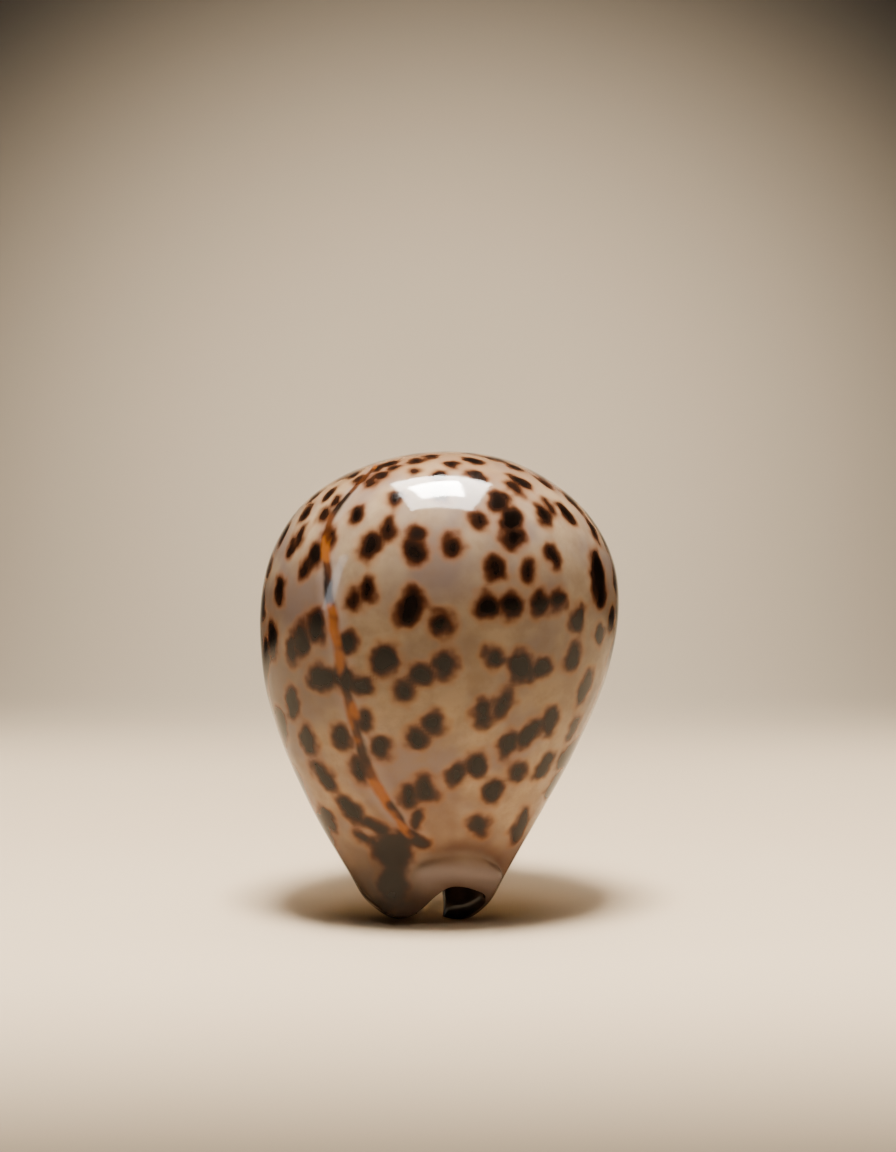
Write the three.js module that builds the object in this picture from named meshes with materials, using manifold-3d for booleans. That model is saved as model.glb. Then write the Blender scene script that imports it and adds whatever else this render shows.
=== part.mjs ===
// A tiger cowrie: one sea shell, standing on the two tips of its narrow front end.
// The shell is one curled sheet, as the animal grew it. The sheet starts at the outer lip, goes round over
// the back and under the base, and ends at the inner lip, with the toothed slit open between the lips.
//
// Millimetres. The part frame has +Z up, the shell's back facing -Y and the outer lip's side at -X.
// The loft works in the shell's own frame: across (x), along from the front tips to the rear (y), and
// height above the base (z).

import * as THREE from "three";
import { mergeVertices } from "three/addons/utils/BufferGeometryUtils.js";
import Module from "manifold-3d";

const LEAN_DEG = 20.1; // the shell leans back until its weight is over its two feet
const FOOT_WEAR = 1.5; // depth of the flat that each tip stands on

// Eleven stations, evenly spaced in the loft's parameter, from the front rim to the rear rim.
const PROFILE = {
  alongTop: [5.4, 10.4, 18.2, 28.4, 39.8, 51.4, 62.0, 71.0, 77.6, 81.3, 82.7], // along, at the back
  alongBase: [3.8, 8.8, 16.4, 26.8, 38.8, 51.2, 62.6, 71.8, 78.4, 82.2, 83.7], // along, at the base
  halfWidth: [10.7, 13.8, 18.6, 24.2, 29.0, 31.3, 30.3, 25.6, 18.2, 11.8, 8.4],
  shift: [-1.6, -2.0, -2.1, -1.8, -1.0, -0.1, 0.3, 0.3, 0.7, 2.2, 4.4], // the middle, across
  top: [10.0, 15.6, 24.0, 34.0, 42.8, 48.8, 49.9, 45.2, 35.4, 23.0, 12.4], // height of the back
  base: [0.6, 0.3, 0.1, 0.0, 0.0, 0.0, 0.0, 0.2, 0.8, 1.6, 2.6], // height of the base
  widest: [4.8, 7.8, 11.0, 14.3, 16.8, 18.0, 18.4, 17.4, 14.6, 10.8, 7.2], // height of the margins
  slit: [-1.7, -1.9, -2.4, -2.9, -3.1, -2.6, -1.0, 1.5, 4.2, 6.0, 7.0], // the slit's middle, across
  gap: [1.6, 2.0, 2.3, 2.2, 2.0, 1.9, 1.8, 1.8, 1.9, 2.0, 1.9], // half the slit's width
  leftWall: [8.6, 6.6, 4.8, 3.8, 3.6, 3.6, 3.6, 3.4, 3.0, 2.6, 2.4],
  rightWall: [2.2, 2.8, 3.4, 3.6, 3.6, 3.6, 3.6, 3.4, 3.0, 2.6, 2.4],
  roofWall: [2.4, 2.8, 3.2, 3.6, 3.7, 3.7, 3.7, 3.6, 3.3, 2.8, 2.2],
  floorWall: [5.0, 4.4, 3.8, 3.4, 3.4, 3.4, 3.4, 3.4, 3.2, 2.8, 2.4],
};

// How high the inside of the wall is widest, as a share of the way from its floor to its roof.
const INNER_WIDEST = 0.4;

// The two lobes of the front rim: where each is in the section, how wide, how far it reaches forward, and
// how much farther it does so at the back, over the rise between two heights.
const FEET = [
  { x: -8.6, z: 6.6, halfWidth: 4.4, halfHeight: 8.0, reach: 5.6, moreAtBack: 3.8 },
  { x: 3.2, z: 3.0, halfWidth: 4.2, halfHeight: 3.4, reach: 5.4, moreAtBack: 0 },
];
const FEET_RISE = { from: 2, to: 8 };
const FEET_FADE = { length: 0.06, power: 1.6 }; // the length is in the loft's parameter

// The rolled bar along the back of the front canal, and the groove that arches over it. Both run between
// two angles round the section, in degrees, and fade at their ends. The rim is set back under the bar.
const BAR = { from: 5, to: 112, fade: 24, height: 1.4, behind: 3.2, halfWidth: 2.8, setBack: 1.6 };
const GROOVE = { depth: 0.9, behind: 8.4, nearerAtEnds: 3.6, halfWidth: 1.5 };
const FRONT_SCALE = 66; // millimetres along per unit of the loft's parameter, near the front

// The edges' rounding. The power is above 2, so that they start without a crease. Each edge is round over
// its reach times half the wall, and a millimetre more.
const EDGE_POWER = 2.6;
const LIP_REACH = 1.1;
const RIM_REACH = 0.65;
const LIP_LIMIT = 0.96; // the lips stay within this share of the half width

// Teeth, as ridges that cross each lip, evenly spaced along it.
const TOOTH = { reach: 2.9, height: 1.8, halfWidth: 0.85, inset: 2.1, lift: 1.35 };
const OUTER_TEETH = { count: 24, from: 9, to: 77, side: -1, size: 1 };
const INNER_TEETH = { count: 22, from: 11, to: 75, side: 1, size: 0.85 };
const TOOTH_ROUND_STEPS = 7;
const TOOTH_LENGTH_STEPS = 6;

// Mesh steps round the section and along the shell, with extra ones where an edge turns.
const ROUND_STEPS = 38;
const LIP_STEPS = 4;
const LIP_SHARE = 0.045; // of the way round
const ALONG_STEPS = 32;
const RIM_STEPS = 4;
const RIM_SHARE = 0.03; // of the way along

const { clamp, degToRad, euclideanModulo, lerp, radToDeg, smoothstep } = THREE.MathUtils;

// A natural cubic spline through evenly spaced values, as a function of 0 to 1.
function spline(values) {
  const last = values.length - 1;
  const pivot = values.map(() => 0);
  const bend = values.map(() => 0);
  for (let i = 1; i < last; i++) {
    pivot[i] = 1 / (4 - pivot[i - 1]);
    bend[i] = (6 * (values[i + 1] - 2 * values[i] + values[i - 1]) - bend[i - 1]) * pivot[i];
  }
  for (let i = last - 1; i > 0; i--) bend[i] -= pivot[i] * bend[i + 1];
  return (v) => {
    const x = clamp(v, 0, 1) * last;
    const i = Math.min(Math.floor(x), last - 1);
    const b = x - i;
    const a = 1 - b;
    const curve = ((a ** 3 - a) * bend[i] + (b ** 3 - b) * bend[i + 1]) / 6;
    return a * values[i] + b * values[i + 1] + curve;
  };
}

const profile = Object.fromEntries(Object.entries(PROFILE).map(([key, values]) => [key, spline(values)]));

// The section's measures at v, on the outside of the wall or on the inside.
function measures(v, inside) {
  const m = Object.fromEntries(Object.entries(profile).map(([key, f]) => [key, f(v)]));
  if (!inside) return m;
  m.halfWidth -= (m.leftWall + m.rightWall) / 2;
  m.shift += (m.leftWall - m.rightWall) / 2;
  m.top -= m.roofWall;
  m.base += m.floorWall;
  m.widest = Math.max(m.widest, lerp(m.base, m.top, INNER_WIDEST));
  return m;
}

const bump = (x, middle, halfWidth) => Math.exp(-(((x - middle) / halfWidth) ** 2));

// From 0 outside the bar's two ends to 1 along its middle.
function barWindow(turn) {
  const rising = smoothstep(turn, BAR.from, BAR.from + BAR.fade);
  return rising * (1 - smoothstep(turn, BAR.to - BAR.fade, BAR.to));
}

// How far behind the rim the groove runs.
function groovePlace(turn) {
  const fromMiddle = (2 * turn - BAR.from - BAR.to) / (BAR.to - BAR.from);
  return GROOVE.behind - GROOVE.nearerAtEnds * clamp(fromMiddle, -1, 1) ** 2;
}

// A point of the section. The angle is 0 at the inner lip's margin, 90 degrees at the back, 180 at the
// outer lip's margin and -90 or 270 at the base.
function sectionPoint(m, angle, v, inside) {
  const middle = (m.top + m.base) / 2;
  const droop = (m.widest - middle) / 2;
  let x = m.shift + m.halfWidth * Math.cos(angle);
  let y = (m.alongTop + m.alongBase) / 2 + ((m.alongTop - m.alongBase) / 2) * Math.sin(angle);
  let z = middle + droop + ((m.top - m.base) / 2) * Math.sin(angle) + droop * Math.cos(2 * angle);
  const turn = euclideanModulo(radToDeg(angle) + 90, 360) - 90;
  const front = Math.exp(-((v / FEET_FADE.length) ** FEET_FADE.power));
  for (const foot of FEET) {
    const reach = foot.reach + foot.moreAtBack * smoothstep(z, FEET_RISE.from, FEET_RISE.to);
    y -= reach * front * bump(x, foot.x, foot.halfWidth) * bump(z, foot.z, foot.halfHeight);
  }
  y += BAR.setBack * front * barWindow(turn);
  if (!inside) {
    const behind = v * FRONT_SCALE;
    const bar = BAR.height * bump(behind, BAR.behind, BAR.halfWidth);
    const groove = GROOVE.depth * bump(behind, groovePlace(turn), GROOVE.halfWidth);
    const swell = barWindow(turn) * (bar - groove);
    x += swell * Math.cos(angle);
    z += swell * Math.sin(angle);
  }
  return new THREE.Vector3(x, y, z);
}

// The angles of the section's two ends: the outer lip first, then the inner lip.
function lipAngles(m) {
  const outer = clamp((m.slit - m.gap - m.shift) / m.halfWidth, -LIP_LIMIT, LIP_LIMIT);
  const inner = clamp((m.slit + m.gap - m.shift) / m.halfWidth, -LIP_LIMIT, LIP_LIMIT);
  return [2 * Math.PI - Math.acos(outer), -Math.acos(inner)];
}

// Steps from 0 to 1 with extra ones in the first and last share.
function steps(edge, middle, share) {
  const turn = Array.from({ length: edge }, (_, i) => share * (1 - Math.cos(((i / edge) * Math.PI) / 2)));
  const run = Array.from({ length: middle + 1 }, (_, i) => share + (1 - 2 * share) * (i / middle));
  return [...turn, ...run, ...turn.map((t) => 1 - t).reverse()];
}

// One face of the sheet as rows of points, from the front rim to the rear.
function face(us, vs, inside) {
  return vs.map((v) => {
    const m = measures(v, inside);
    const [from, to] = lipAngles(m);
    return us.map((u) => sectionPoint(m, from + (to - from) * u, v, inside));
  });
}

// Distances along a line of points, from its nearer end.
function fromNearerEnd(points) {
  const sums = [0];
  for (let i = 1; i < points.length; i++) sums.push(sums[i - 1] + points[i].distanceTo(points[i - 1]));
  return sums.map((sum) => Math.min(sum, sums.at(-1) - sum));
}

const edge = (distance, length) =>
  Math.sqrt(1 - Math.max(0, 1 - distance / length) ** EDGE_POWER);

// The sheet's outer and inner faces, drawn together into round edges along both lips and both rims.
function sheetFaces() {
  const us = steps(LIP_STEPS, ROUND_STEPS, LIP_SHARE);
  const vs = steps(RIM_STEPS, ALONG_STEPS, RIM_SHARE);
  const outer = face(us, vs, false);
  const inner = face(us, vs, true);
  const toLip = outer.map((row) => fromNearerEnd(row));
  const toRim = us.map((_, i) => fromNearerEnd(outer.map((row) => row[i])));
  for (let j = 0; j < vs.length; j++) {
    for (let i = 0; i < us.length; i++) {
      const half = outer[j][i].distanceTo(inner[j][i]) / 2;
      const open = edge(toLip[j][i], 1 + LIP_REACH * half) * edge(toRim[i][j], 1 + RIM_REACH * half);
      const middle = outer[j][i].clone().lerp(inner[j][i], 0.5);
      outer[j][i].lerpVectors(middle, outer[j][i], open);
      inner[j][i].lerpVectors(middle, inner[j][i], open);
    }
  }
  return { outer, inner };
}

// Two triangles for each cell of a face, turned to look outward.
function cells(rows, outward) {
  const corners = outward
    ? [[0, 0], [0, 1], [1, 1], [0, 0], [1, 1], [1, 0]]
    : [[0, 0], [1, 1], [0, 1], [0, 0], [1, 0], [1, 1]];
  const positions = [];
  for (let j = 0; j + 1 < rows.length; j++) {
    for (let i = 0; i + 1 < rows[j].length; i++) {
      for (const [dj, di] of corners) positions.push(...rows[j + dj][i + di].toArray());
    }
  }
  return positions;
}

function sheetGeometry() {
  const { outer, inner } = sheetFaces();
  const positions = new Float32Array([...cells(outer, true), ...cells(inner, false)]);
  return new THREE.BufferGeometry().setAttribute("position", new THREE.BufferAttribute(positions, 3));
}

// The loft's parameter where the base is at a distance along the shell, by halving.
function parameterAt(along) {
  let low = 0;
  let high = 1;
  for (let i = 0; i < 20; i++) {
    const v = (low + high) / 2;
    if (profile.alongBase(v) < along) low = v;
    else high = v;
  }
  return low;
}

function toothGeometry(along, side, size) {
  const m = measures(parameterAt(along), false);
  const across = m.slit + side * (m.gap + TOOTH.inset * size);
  const ball = new THREE.SphereGeometry(1, TOOTH_ROUND_STEPS, TOOTH_LENGTH_STEPS);
  const tooth = ball.rotateZ(Math.PI / 2);
  tooth.scale(TOOTH.reach * size, TOOTH.halfWidth, TOOTH.height);
  return tooth.translate(across, along, m.base + TOOTH.lift);
}

// three.js geometry to a solid, and a solid to three.js geometry.
const wasm = await Module();
wasm.setup();

function solidOf(geometry) {
  const bare = geometry.clone();
  bare.deleteAttribute("normal");
  bare.deleteAttribute("uv");
  const merged = mergeVertices(bare, 1e-4);
  const mesh = new wasm.Mesh({
    numProp: 3,
    vertProperties: merged.attributes.position.array,
    triVerts: new Uint32Array(merged.index.array),
  });
  return new wasm.Manifold(mesh);
}

function geometryOf(solid) {
  const mesh = solid.getMesh();
  const geometry = new THREE.BufferGeometry();
  geometry.setAttribute("position", new THREE.BufferAttribute(mesh.vertProperties, 3));
  geometry.setIndex(new THREE.BufferAttribute(mesh.triVerts, 1));
  geometry.computeVertexNormals();
  return geometry;
}

function toothedSheet() {
  let whole = solidOf(sheetGeometry());
  for (const { count, from, to, side, size } of [OUTER_TEETH, INNER_TEETH]) {
    for (let i = 0; i < count; i++) {
      const along = lerp(from, to, i / (count - 1));
      whole = whole.add(solidOf(toothGeometry(along, side, size)));
    }
  }
  return geometryOf(whole);
}

// Leans the shell from its own frame into the part frame, sets it down with the tips below the ground
// by the wear, centres it, and cuts the feet flat at the ground.
function stood(geometry) {
  const lean = degToRad(LEAN_DEG);
  const across = new THREE.Vector3(1, 0, 0);
  const along = new THREE.Vector3(0, Math.sin(lean), Math.cos(lean));
  const height = new THREE.Vector3(0, -Math.cos(lean), Math.sin(lean));
  geometry.applyMatrix4(new THREE.Matrix4().makeBasis(across, along, height));
  geometry.computeBoundingBox();
  const { min, max } = geometry.boundingBox;
  geometry.translate(-(min.x + max.x) / 2, -(min.y + max.y) / 2, -min.z - FOOT_WEAR);
  const ground = new THREE.BoxGeometry(100, 100, 10).translate(0, 0, -5);
  return geometryOf(solidOf(geometry).subtract(solidOf(ground)));
}

const glaze = new THREE.MeshStandardMaterial({ color: 0xb79c80, roughness: 0.12, metalness: 0 });

const shell = new THREE.Mesh(stood(toothedSheet()), glaze);
shell.name = "cowrie_shell";

const group = new THREE.Group();
group.add(shell);
export default group;
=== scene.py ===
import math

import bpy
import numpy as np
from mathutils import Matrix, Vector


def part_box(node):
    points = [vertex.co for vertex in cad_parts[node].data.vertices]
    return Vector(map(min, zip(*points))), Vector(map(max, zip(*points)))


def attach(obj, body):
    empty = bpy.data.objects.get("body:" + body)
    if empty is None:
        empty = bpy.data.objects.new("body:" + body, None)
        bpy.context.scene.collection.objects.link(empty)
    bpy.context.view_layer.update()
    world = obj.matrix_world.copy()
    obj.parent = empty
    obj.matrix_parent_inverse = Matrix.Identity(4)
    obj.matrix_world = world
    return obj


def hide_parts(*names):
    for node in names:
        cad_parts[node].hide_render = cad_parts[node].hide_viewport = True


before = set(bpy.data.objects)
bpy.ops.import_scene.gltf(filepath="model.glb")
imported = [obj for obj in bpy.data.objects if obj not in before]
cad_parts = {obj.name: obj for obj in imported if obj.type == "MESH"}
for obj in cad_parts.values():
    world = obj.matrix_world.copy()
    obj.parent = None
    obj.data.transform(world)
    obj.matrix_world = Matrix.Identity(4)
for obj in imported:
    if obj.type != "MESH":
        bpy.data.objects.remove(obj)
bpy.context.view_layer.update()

# A tiger cowrie's finished surface, built round its CAD solid, on a pale sweep in soft light.
#
# The shell is measured in millimetres in its own frame: across, along from the front tips to the rear, and
# height above the base. stood() leans it into the part frame, in metres, and lines it up with the CAD box.
# "Turn" is the angle round a section in degrees: 0 at the right margin, 90 at the back's middle, 180 at the
# left margin and -90 or 270 at the base.

MM = 0.001
NODE = "cowrie_shell"
SEED = 11

# ---------------------------------------------------------------- shape, as in the CAD part

LEAN = math.radians(20.1)

# Eleven stations, evenly spaced in the loft's parameter, from the front rim to the rear rim.
PROFILE = {
    "along_top": [5.4, 10.4, 18.2, 28.4, 39.8, 51.4, 62.0, 71.0, 77.6, 81.3, 82.7],
    "along_base": [3.8, 8.8, 16.4, 26.8, 38.8, 51.2, 62.6, 71.8, 78.4, 82.2, 83.7],
    "half_width": [10.7, 13.8, 18.6, 24.2, 29.0, 31.3, 30.3, 25.6, 18.2, 11.8, 8.4],
    "shift": [-1.6, -2.0, -2.1, -1.8, -1.0, -0.1, 0.3, 0.3, 0.7, 2.2, 4.4],
    "top": [10.0, 15.6, 24.0, 34.0, 42.8, 48.8, 49.9, 45.2, 35.4, 23.0, 12.4],
    "base": [0.6, 0.3, 0.1, 0.0, 0.0, 0.0, 0.0, 0.2, 0.8, 1.6, 2.6],
    "widest": [4.8, 7.8, 11.0, 14.3, 16.8, 18.0, 18.4, 17.4, 14.6, 10.8, 7.2],
    "slit": [-1.7, -1.9, -2.4, -2.9, -3.1, -2.6, -1.0, 1.5, 4.2, 6.0, 7.0],
    "gap": [1.6, 2.0, 2.3, 2.2, 2.0, 1.9, 1.8, 1.8, 1.9, 2.0, 1.9],
    "left_wall": [8.6, 6.6, 4.8, 3.8, 3.6, 3.6, 3.6, 3.4, 3.0, 2.6, 2.4],
    "right_wall": [2.2, 2.8, 3.4, 3.6, 3.6, 3.6, 3.6, 3.4, 3.0, 2.6, 2.4],
    "roof_wall": [2.4, 2.8, 3.2, 3.6, 3.7, 3.7, 3.7, 3.6, 3.3, 2.8, 2.2],
    "floor_wall": [5.0, 4.4, 3.8, 3.4, 3.4, 3.4, 3.4, 3.4, 3.2, 2.8, 2.4],
}

# How high the inside of the wall is widest, as a share of the way from its floor to its roof.
INNER_WIDEST = 0.4

# The two lobes of the front rim: where each is in the section, how wide, how far it reaches forward, and
# how much farther it does so at the back, over the rise between two heights.
FEET = [
    {"x": -8.6, "h": 6.6, "half_width": 4.4, "half_height": 8.0, "reach": 5.6, "more_at_back": 3.8},
    {"x": 3.2, "h": 3.0, "half_width": 4.2, "half_height": 3.4, "reach": 5.4, "more_at_back": 0.0},
]
FEET_RISE = (2, 8)
FEET_FADE = {"length": 0.06, "power": 1.6}  # the length is in the loft's parameter

# The rolled bar along the back of the front canal, and the groove that arches over it. Both run between
# two turns and fade at their ends. The rim is set back under the bar.
BAR = {
    "from": 5, "to": 112, "fade": 24,
    "height": 1.4, "behind": 3.2, "half_width": 2.8, "set_back": 1.6,
}
GROOVE = {"depth": 0.9, "behind": 8.4, "nearer_at_ends": 3.6, "half_width": 1.5}
FRONT_SCALE = 66  # millimetres along per unit of the loft's parameter, near the front

# The edges' rounding, a little rounder than the CAD solid's. Each edge is round over its reach times half
# the wall, and a millimetre more.
EDGE_POWER = 2.1
LIP_REACH = 1.1
RIM_REACH = 1.0
LIP_LIMIT = 0.96  # the lips stay within this share of the half width

# Mesh steps. Both totals are even, because the inner face takes every second line.
ROUND_STEPS = 296
LIP_STEPS = 12
LIP_SHARE = 0.045  # of the way round
ALONG_STEPS = 216
RIM_STEPS = 10
RIM_SHARE = 0.03  # of the way along

# Relief that is finer than the CAD solid's.
OUTER_TEETH = {"count": 24, "from": 9, "to": 77, "reach": 5.4}
INNER_TEETH = {"count": 22, "from": 11, "to": 75, "reach": 4.2}
TOOTH_HEIGHT = 0.75
TOOTH_HALF_WIDTH = 0.8
TOOTH_INSIDE = 4.5  # how far in the teeth reach on the inner face
TOOTH_FULL = 0.35  # the share of its reach over which a tooth is at its full height
SPIRE = {"across": 8, "along": 80, "height": 18, "radius": 4, "depth": 0.8}  # the dimple over it
WAVES = {"count": 9, "height": 0.12, "length": 12, "varies": (0.8, 1.6)}
BASE_BULGE = {"height": 1.1, "left": 232, "right": -52, "half_turn": 24}
BASE_BULGE_RISES = (0.1, 0.3)  # in the loft's parameter
BASE_BULGE_FALLS = (0.75, 0.95)
ROLL = {"height": 0.6, "behind": 3.4, "half_width": 2.8}  # more roundness for the front bar
FRONT_SMOOTHED = (3.0, 10.0)  # along: wholly smoothed before the first, not at all after the second
SMOOTH_PASSES = 120
SMOOTH_STEP = 0.5
GROUND_SOFTNESS = 0.7
GROUND_FADE = 8  # times the softness: above that height the ground changes nothing


def spline(values):
    """A natural cubic spline through evenly spaced values, as a function of 0 to 1."""
    y = np.array(values, float)
    last = len(y) - 1
    system = np.eye(last + 1)
    right = np.zeros(last + 1)
    for i in range(1, last):
        system[i, i - 1 : i + 2] = 1, 4, 1
        right[i] = 6 * (y[i + 1] - 2 * y[i] + y[i - 1])
    bend = np.linalg.solve(system, right)

    def value(v):
        x = np.clip(v, 0, 1) * last
        i = np.minimum(x.astype(int), last - 1)
        b = x - i
        a = 1 - b
        curve = ((a**3 - a) * bend[i] + (b**3 - b) * bend[i + 1]) / 6
        return a * y[i] + b * y[i + 1] + curve

    return value


CURVES = {name: spline(values) for name, values in PROFILE.items()}


def bump(x, middle, half_width):
    """A rounded rise to 1 at the middle, and almost 0 beyond twice the half width."""
    return np.exp(-(((x - middle) / half_width) ** 2))


def smooth(x, low, high):
    """From 0 at low to 1 at high, eased at both ends."""
    t = np.clip((x - low) / (high - low), 0, 1)
    return t * t * (3 - 2 * t)


def unit(vectors):
    """The vectors at length 1."""
    return vectors / np.maximum(np.linalg.norm(vectors, axis=-1, keepdims=True), 1e-12)


def measures(v, inside):
    """The section's measures at v, on the outside of the wall or on the inside."""
    m = {name: curve(v) for name, curve in CURVES.items()}
    if inside:
        m["half_width"] = m["half_width"] - (m["left_wall"] + m["right_wall"]) / 2
        m["shift"] = m["shift"] + (m["left_wall"] - m["right_wall"]) / 2
        m["top"] = m["top"] - m["roof_wall"]
        m["base"] = m["base"] + m["floor_wall"]
        raised = (1 - INNER_WIDEST) * m["base"] + INNER_WIDEST * m["top"]
        m["widest"] = np.maximum(m["widest"], raised)
    return m


def turn_of(angle):
    """An angle in radians as degrees from -90 to 270."""
    return (np.degrees(angle) + 90) % 360 - 90


def bar_window(turn):
    """From 0 outside the bar's two ends to 1 along its middle."""
    rising = smooth(turn, BAR["from"], BAR["from"] + BAR["fade"])
    return rising * (1 - smooth(turn, BAR["to"] - BAR["fade"], BAR["to"]))


def groove_place(turn):
    """How far behind the rim the groove runs."""
    from_middle = (2 * turn - BAR["from"] - BAR["to"]) / (BAR["to"] - BAR["from"])
    return GROOVE["behind"] - GROOVE["nearer_at_ends"] * np.clip(from_middle, -1, 1) ** 2


def section(m, angle, v, inside):
    """Points (across, along, height) of the wall's outer or inner face."""
    middle = (m["top"] + m["base"]) / 2
    droop = (m["widest"] - middle) / 2
    x = m["shift"] + m["half_width"] * np.cos(angle)
    s = (m["along_top"] + m["along_base"]) / 2
    s = s + (m["along_top"] - m["along_base"]) / 2 * np.sin(angle)
    h = middle + droop + (m["top"] - m["base"]) / 2 * np.sin(angle) + droop * np.cos(2 * angle)
    front = np.exp(-((v / FEET_FADE["length"]) ** FEET_FADE["power"]))
    for foot in FEET:
        lobe = bump(x, foot["x"], foot["half_width"]) * bump(h, foot["h"], foot["half_height"])
        reach = foot["reach"] + foot["more_at_back"] * smooth(h, *FEET_RISE)
        s = s - reach * front * lobe
    turn = turn_of(angle)
    s = s + BAR["set_back"] * front * bar_window(turn)
    if not inside:
        behind = v * FRONT_SCALE
        bar = BAR["height"] * bump(behind, BAR["behind"], BAR["half_width"])
        groove = GROOVE["depth"] * bump(behind, groove_place(turn), GROOVE["half_width"])
        swell = bar_window(turn) * (bar - groove)
        x = x + swell * np.cos(angle)
        h = h + swell * np.sin(angle)
    return np.stack([x, s, h], -1)


def lip_angles(m):
    """The angles of the section's two ends: the outer lip first, then the inner lip."""
    outer = np.clip((m["slit"] - m["gap"] - m["shift"]) / m["half_width"], -LIP_LIMIT, LIP_LIMIT)
    inner = np.clip((m["slit"] + m["gap"] - m["shift"]) / m["half_width"], -LIP_LIMIT, LIP_LIMIT)
    return 2 * np.pi - np.arccos(outer), -np.arccos(inner)


def steps(edge, middle, share):
    """Steps from 0 to 1 with extra ones in the first and last share."""
    turn = share * (1 - np.cos(np.arange(edge) / edge * np.pi / 2))
    run = share + (1 - 2 * share) * np.arange(middle + 1) / middle
    return np.concatenate([turn, run, (1 - turn)[::-1]])


def arc_length(points, axis):
    """The distance run from the first point along each line of a grid."""
    lengths = np.linalg.norm(np.diff(points, axis=axis), axis=-1)
    start = np.zeros_like(np.take(lengths, [0], axis))
    return np.concatenate([start, np.cumsum(lengths, axis)], axis)


def rounding(distance, length):
    """How open the wall is at a distance from its edge, from 0 at the edge to 1."""
    return np.sqrt(1 - np.maximum(0, 1 - distance / length) ** EDGE_POWER)


def sheet():
    """The wall's two faces, drawn together into round edges, and what is known of each grid point."""
    us = steps(LIP_STEPS, ROUND_STEPS, LIP_SHARE)
    vs = steps(RIM_STEPS, ALONG_STEPS, RIM_SHARE)
    v, u = np.meshgrid(vs, us, indexing="ij")
    faces = []
    for inside in (False, True):
        m = measures(v, inside)
        start, end = lip_angles(m)
        angle = start + (end - start) * u
        faces.append(section(m, angle, v, inside))
        if not inside:
            turn = turn_of(angle)
    outer, inner = faces
    round_run, long_run = arc_length(outer, 1), arc_length(outer, 0)
    to_lip = np.minimum(round_run, round_run[:, -1:] - round_run)
    to_rim = np.minimum(long_run, long_run[-1:] - long_run)
    half = np.linalg.norm(outer - inner, axis=-1) / 2
    open_share = rounding(to_lip, 1 + LIP_REACH * half) * rounding(to_rim, 1 + RIM_REACH * half)
    middle = (outer + inner) / 2
    outer = middle + (outer - middle) * open_share[..., None]
    inner = middle + (inner - middle) * open_share[..., None]
    return outer, inner, {"v": v, "turn": turn}


def stood(points):
    """Points of the shell's frame in the part frame, in metres, before they are lined up."""
    x, s, h = np.moveaxis(points, -1, 0)
    y = s * math.sin(LEAN) - h * math.cos(LEAN)
    z = s * math.cos(LEAN) + h * math.sin(LEAN)
    return np.stack([x, y, z], -1) * MM


# ---------------------------------------------------------------- the mesh


def grid_faces(outer_ids, inner_ids):
    """Faces of both grids. Along the shared border the inner ones take in the outer grid's extra points."""
    a, b = outer_ids[:-1, :-1].ravel(), outer_ids[:-1, 1:].ravel()
    c, d = outer_ids[1:, 1:].ravel(), outer_ids[1:, :-1].ravel()
    faces = np.stack([a, b, c, d], 1).tolist()
    rows, columns = inner_ids.shape
    for j in range(rows - 1):
        for i in range(columns - 1):
            corners = [(j, i), (j + 1, i), (j + 1, i + 1), (j, i + 1)]
            face = []
            for (j0, i0), (j1, i1) in zip(corners, corners[1:] + corners[:1]):
                face.append(int(inner_ids[j0, i0]))
                on_rim = j0 == j1 and j0 in (0, rows - 1)
                on_lip = i0 == i1 and i0 in (0, columns - 1)
                if on_rim or on_lip:
                    face.append(int(outer_ids[j0 + j1, i0 + i1]))
            faces.append(face)
    return faces


def joined_grids(outer, inner):
    """One list of points, and the ids of both faces' grids in it. The border belongs to both."""
    outer_ids = np.arange(outer[..., 0].size).reshape(outer.shape[:2])
    inner_ids = outer_ids[::2, ::2].copy()
    inside = inner[2:-2:2, 2:-2:2]
    inner_ids[1:-1, 1:-1] = outer_ids.size + np.arange(inside[..., 0].size).reshape(inside.shape[:2])
    return np.concatenate([outer.reshape(-1, 3), inside.reshape(-1, 3)]), outer_ids, inner_ids


def both_faces(outer_values, inner_values):
    """A value for each point of the mesh from its value on each face's grid."""
    return np.concatenate([outer_values.ravel(), inner_values[2:-2:2, 2:-2:2].ravel()])


def lip_distance(face, side):
    """Distance along the section from one lip's edge."""
    run = arc_length(face, 1)
    return run if side == "outer" else run[:, -1:] - run


def edge_distance(face):
    """Distance to the nearest lip or rim."""
    across, along = arc_length(face, 1), arc_length(face, 0)
    nearer_lip = np.minimum(across, across[:, -1:] - across)
    return np.minimum(nearer_lip, np.minimum(along, along[-1:] - along))


def teeth(along, distance, inside, rule):
    """Height of the teeth of one lip, from 0 to 1, and how far in its toothed strip a point is."""
    places = np.linspace(rule["from"], rule["to"], rule["count"])
    ridges = sum(bump(along, place, TOOTH_HALF_WIDTH) for place in places)
    reach = TOOTH_INSIDE if inside else rule["reach"]
    strip = 1 - smooth(distance, reach * TOOTH_FULL, reach)
    return ridges * strip, strip


def waves(points, rng):
    """Gentle unevenness, from -1 to 1: the mean of a few waves in random directions."""
    total = np.zeros(points.shape[:-1])
    for _ in range(WAVES["count"]):
        direction = unit(rng.normal(size=3))
        length = WAVES["length"] * rng.uniform(*WAVES["varies"])
        total += np.sin(points @ direction * 2 * np.pi / length + rng.uniform(0, 2 * np.pi))
    return total / WAVES["count"]


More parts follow.
